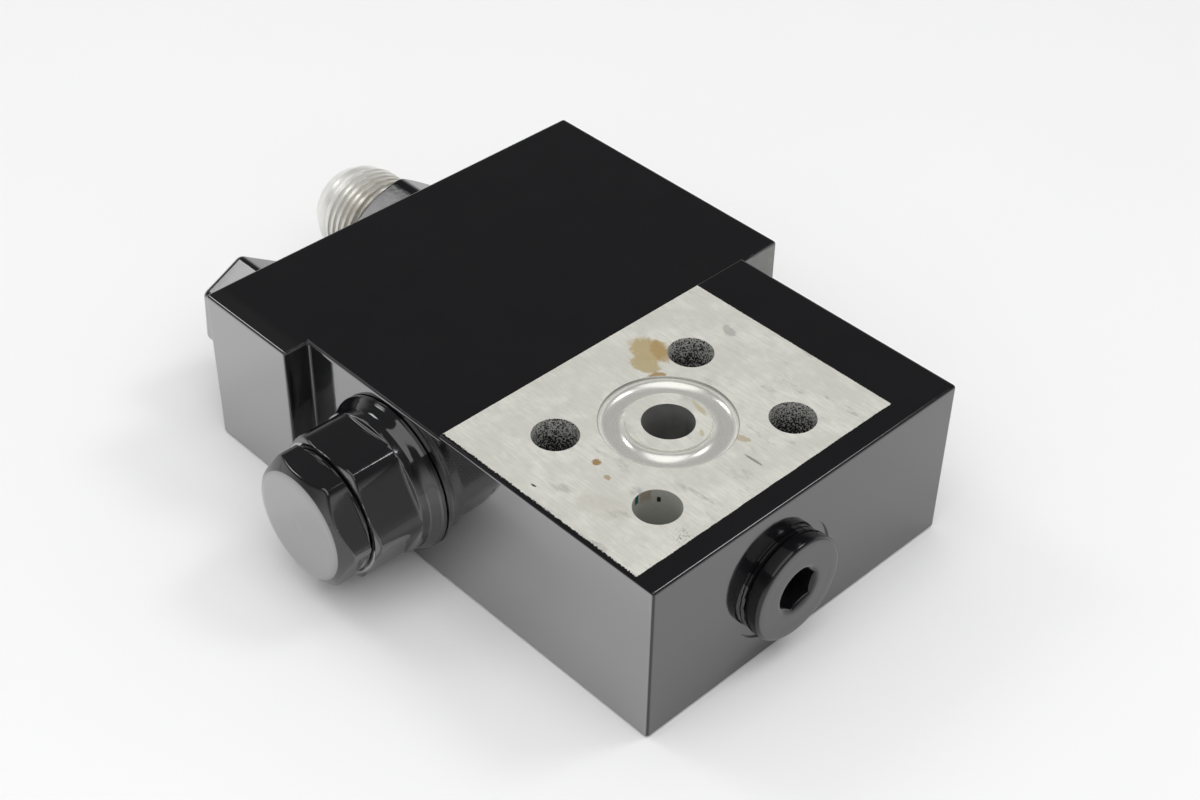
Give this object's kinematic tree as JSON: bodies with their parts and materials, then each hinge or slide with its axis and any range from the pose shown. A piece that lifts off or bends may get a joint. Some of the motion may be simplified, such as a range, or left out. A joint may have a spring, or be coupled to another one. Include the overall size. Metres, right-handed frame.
{
  "type": "hydraulic load holding valve",
  "caption": "Block-shaped hydraulic load holding valve with a bare bolting pad and port, a hexagonal spring cover, a socket plug, a relief cap and a flare line adaptor.",
  "frame": {"origin": "on the flat base, straight under the axis of the cylinder port in the pad", "axes": "+X towards the face with the socket plug, -Y towards the spring cover, +Z out of the bare pad"},
  "size_m": [0.188, 0.141, 0.045],
  "materials": {
    "body_paint": "gloss black paint on steel, with a bare machined pad",
    "fitting_paint": "gloss black paint",
    "turned_steel": "turned and ground",
    "zinc_steel": "zinc plated",
    "spring_steel": "oiled spring wire",
    "seal_metal": "flat washer",
    "rubber": "matt",
    "backup_plastic": "matt white"
  },
  "bodies": {
    "valve": {"valve_body": "body_paint", "spring_housing": "fitting_paint", "housing_o_ring": "rubber", "end_cap": "fitting_paint", "end_cap_seal": "seal_metal", "spring_guide": "turned_steel", "poppet_sleeve": "turned_steel", "seat_ring": "turned_steel", "seat_backup_ring": "backup_plastic", "seat_o_ring": "rubber", "main_spring": "spring_steel", "pilot_spring": "spring_steel", "relief_cap": "fitting_paint", "relief_cap_o_ring": "rubber", "relief_cartridge": "turned_steel", "cartridge_o_ring": "rubber", "relief_spring_button": "turned_steel", "relief_spring": "spring_steel", "adjusting_screw": "spring_steel", "lock_nut": "zinc_steel", "flare_adaptor": "zinc_steel", "adaptor_o_ring": "rubber", "socket_plug": "fitting_paint", "plug_seal_ring": "fitting_paint", "return_plug": "zinc_steel"},
    "poppet": {"main_poppet": "turned_steel"},
    "piston": {"pilot_piston": "turned_steel", "pilot_piston_seal": "rubber"},
    "relief": {"relief_poppet": "turned_steel"}
  },
  "joints": [
    {"name": "pilot_push", "type": "slide", "parent": "valve", "child": "piston", "axis": [0, -1, 0], "range_m": [0, 0.005], "stiffness_N_per_m": 6000, "springref_m": -0.003, "deforming": ["pilot_spring"]},
    {"name": "poppet_lift", "type": "slide", "parent": "valve", "child": "poppet", "axis": [0, -1, 0], "range_m": [0, 0.005], "stiffness_N_per_m": 4000, "springref_m": -0.005, "deforming": ["main_spring"]},
    {"name": "relief_lift", "type": "slide", "parent": "valve", "child": "relief", "axis": [-1, 0, 0], "range_m": [0, 0.0012], "stiffness_N_per_m": 30000, "springref_m": -0.001, "deforming": ["relief_spring"]}
  ],
  "couplings": [
    {"joint": "poppet_lift", "follows": "pilot_push", "ratio": 1}
  ]
}
